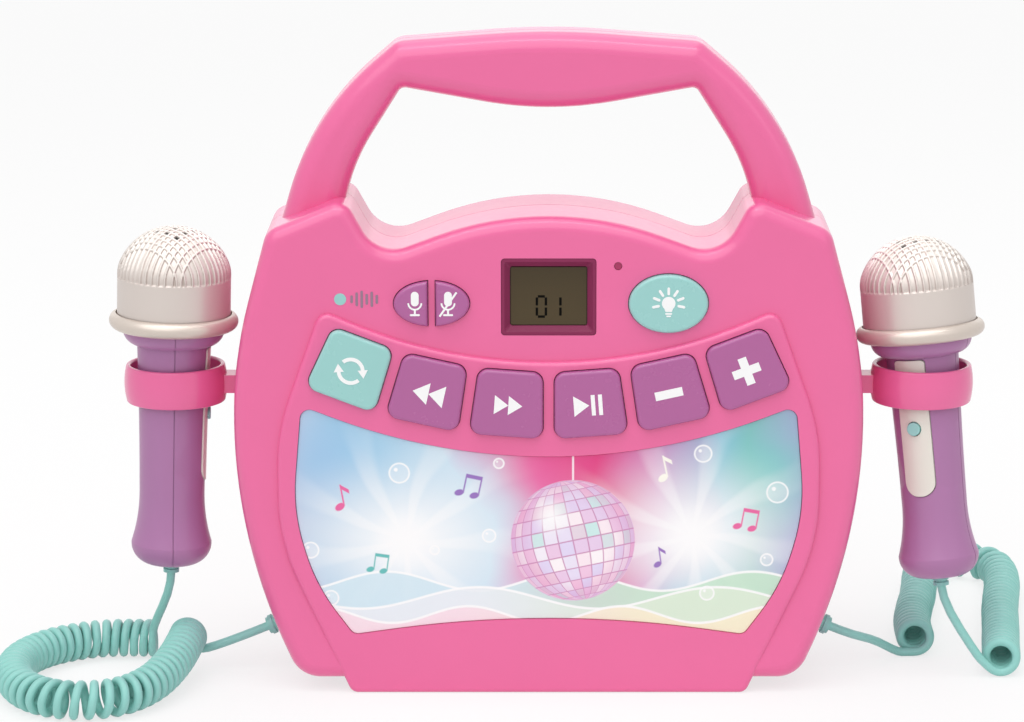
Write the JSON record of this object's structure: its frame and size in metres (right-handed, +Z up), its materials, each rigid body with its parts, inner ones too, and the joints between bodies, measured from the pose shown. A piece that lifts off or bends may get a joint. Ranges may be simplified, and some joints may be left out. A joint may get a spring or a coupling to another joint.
{
  "type": "karaoke machine",
  "caption": "Upright pink karaoke machine with a carry handle, fanned keys, a lit picture panel, a small display and corded microphones hung in side rings.",
  "frame": {"origin": "middle of the underside of the plinth, on the surface that the machine stands on", "axes": "+Z up, -Y out of the front, +X to the right seen from the front"},
  "size_m": [0.4435, 0.2329, 0.2667],
  "materials": {
    "pink_shell": "smooth pink moulding",
    "purple_plastic": "smooth purple moulding",
    "teal_plastic": "smooth teal moulding",
    "mic_purple": "satin purple moulding",
    "champagne_metal": "satin champagne metal",
    "strip_beige": "smooth pale beige",
    "cord_teal": "matt teal sheath",
    "picture_panel": "printed translucent panel",
    "lcd_surround": "dark magenta translucent plastic",
    "lcd_glass": "grey green display glass",
    "lens_dark": "dark red lens",
    "white_plastic": "white reflector plastic",
    "board_green": "circuit board",
    "black_plastic": "black plastic",
    "steel": "bright steel",
    "magnet": "dark magnet",
    "paper_cone": "black paper",
    "cell_case": "plain cell jacket"
  },
  "bodies": {
    "machine": {"front_shell": "pink_shell", "rear_shell": "pink_shell", "handle_front": "pink_shell", "handle_rear": "pink_shell", "case_screws": "steel", "light_panel": "picture_panel", "light_box": "white_plastic", "led_board": "board_green", "leds": "white_plastic", "lcd_window": "lcd_surround", "lcd_module": "lcd_glass", "indicator_lens": "lens_dark", "control_board": "board_green", "tact_switches": "black_plastic", "speaker_frame": "steel", "speaker_cone": "paper_cone", "speaker_magnet": "magnet", "battery_cells": "cell_case", "battery_contacts": "steel", "battery_tray": "pink_shell", "power_switch": "black_plastic", "left_mic_ring": "pink_shell", "right_mic_ring": "pink_shell", "left_cord_gland": "cord_teal", "right_cord_gland": "cord_teal", "left_mic_lead": "cord_teal", "left_curls": "cord_teal", "left_body_lead": "cord_teal", "right_mic_lead": "cord_teal", "right_curls": "cord_teal", "right_body_lead": "cord_teal"},
    "key_mode": {"key_mode": "teal_plastic"},
    "key_rewind": {"key_rewind": "purple_plastic"},
    "key_forward": {"key_forward": "purple_plastic"},
    "key_play": {"key_play": "purple_plastic"},
    "key_minus": {"key_minus": "purple_plastic"},
    "key_plus": {"key_plus": "purple_plastic"},
    "key_mic_on": {"key_mic_on": "purple_plastic"},
    "key_mic_mute": {"key_mic_mute": "purple_plastic"},
    "key_light": {"key_light": "teal_plastic"},
    "left_mic": {"left_mic_handle_front": "mic_purple", "left_mic_handle_back": "mic_purple", "left_mic_strip": "strip_beige", "left_mic_collar": "champagne_metal", "left_mic_grille": "champagne_metal", "left_mic_capsule": "black_plastic", "left_mic_relief": "cord_teal"},
    "left_mic_button": {"left_mic_button": "teal_plastic"},
    "right_mic": {"right_mic_handle_front": "mic_purple", "right_mic_handle_back": "mic_purple", "right_mic_strip": "strip_beige", "right_mic_collar": "champagne_metal", "right_mic_grille": "champagne_metal", "right_mic_capsule": "black_plastic", "right_mic_relief": "cord_teal"},
    "right_mic_button": {"right_mic_button": "teal_plastic"},
    "battery_door": {"battery_door": "pink_shell", "battery_door_screws": "steel"},
    "power_slider": {"power_slider": "purple_plastic"}
  },
  "joints": [
    {"name": "key_mode_press", "type": "slide", "parent": "machine", "child": "key_mode", "axis": [0, 1, 0], "range_m": [0, 0.0015], "stiffness_N_per_m": 500, "springref_m": -0.001},
    {"name": "key_rewind_press", "type": "slide", "parent": "machine", "child": "key_rewind", "axis": [0, 1, 0], "range_m": [0, 0.0015], "stiffness_N_per_m": 500, "springref_m": -0.001},
    {"name": "key_forward_press", "type": "slide", "parent": "machine", "child": "key_forward", "axis": [0, 1, 0], "range_m": [0, 0.0015], "stiffness_N_per_m": 500, "springref_m": -0.001},
    {"name": "key_play_press", "type": "slide", "parent": "machine", "child": "key_play", "axis": [0, 1, 0], "range_m": [0, 0.0015], "stiffness_N_per_m": 500, "springref_m": -0.001},
    {"name": "key_minus_press", "type": "slide", "parent": "machine", "child": "key_minus", "axis": [0, 1, 0], "range_m": [0, 0.0015], "stiffness_N_per_m": 500, "springref_m": -0.001},
    {"name": "key_plus_press", "type": "slide", "parent": "machine", "child": "key_plus", "axis": [0, 1, 0], "range_m": [0, 0.0015], "stiffness_N_per_m": 500, "springref_m": -0.001},
    {"name": "key_mic_on_press", "type": "slide", "parent": "machine", "child": "key_mic_on", "axis": [0, 1, 0], "range_m": [0, 0.0015], "stiffness_N_per_m": 500, "springref_m": -0.001},
    {"name": "key_mic_mute_press", "type": "slide", "parent": "machine", "child": "key_mic_mute", "axis": [0, 1, 0], "range_m": [0, 0.0015], "stiffness_N_per_m": 500, "springref_m": -0.001},
    {"name": "key_light_press", "type": "slide", "parent": "machine", "child": "key_light", "axis": [0, 1, 0], "range_m": [0, 0.0015], "stiffness_N_per_m": 500, "springref_m": -0.001},
    {"name": "left_mic_lift", "type": "slide", "parent": "machine", "child": "left_mic", "axis": [0.044, 0.0472, 0.9979], "range_m": [0, 0.095], "deforming": ["left_mic_lead"]},
    {"name": "left_mic_button_press", "type": "slide", "parent": "left_mic", "child": "left_mic_button", "axis": [-0.9921, -0.1219, 0.0312], "range_m": [0, 0.0006], "stiffness_N_per_m": 500, "springref_m": -0.001},
    {"name": "right_mic_lift", "type": "slide", "parent": "machine", "child": "right_mic", "axis": [-0.1094, 0.1137, 0.9875], "range_m": [0, 0.095], "deforming": ["right_mic_lead"]},
    {"name": "right_mic_button_press", "type": "slide", "parent": "right_mic", "child": "right_mic_button", "axis": [0.4827, 0.8753, -0.0308], "range_m": [0, 0.0006], "stiffness_N_per_m": 500, "springref_m": -0.001},
    {"name": "battery_door_off", "type": "slide", "parent": "machine", "child": "battery_door", "axis": [0, 1, 0], "range_m": [0, 0.03]},
    {"name": "power_slide", "type": "slide", "parent": "machine", "child": "power_slider", "axis": [1, 0, 0], "range_m": [0, 0.005]}
  ]
}
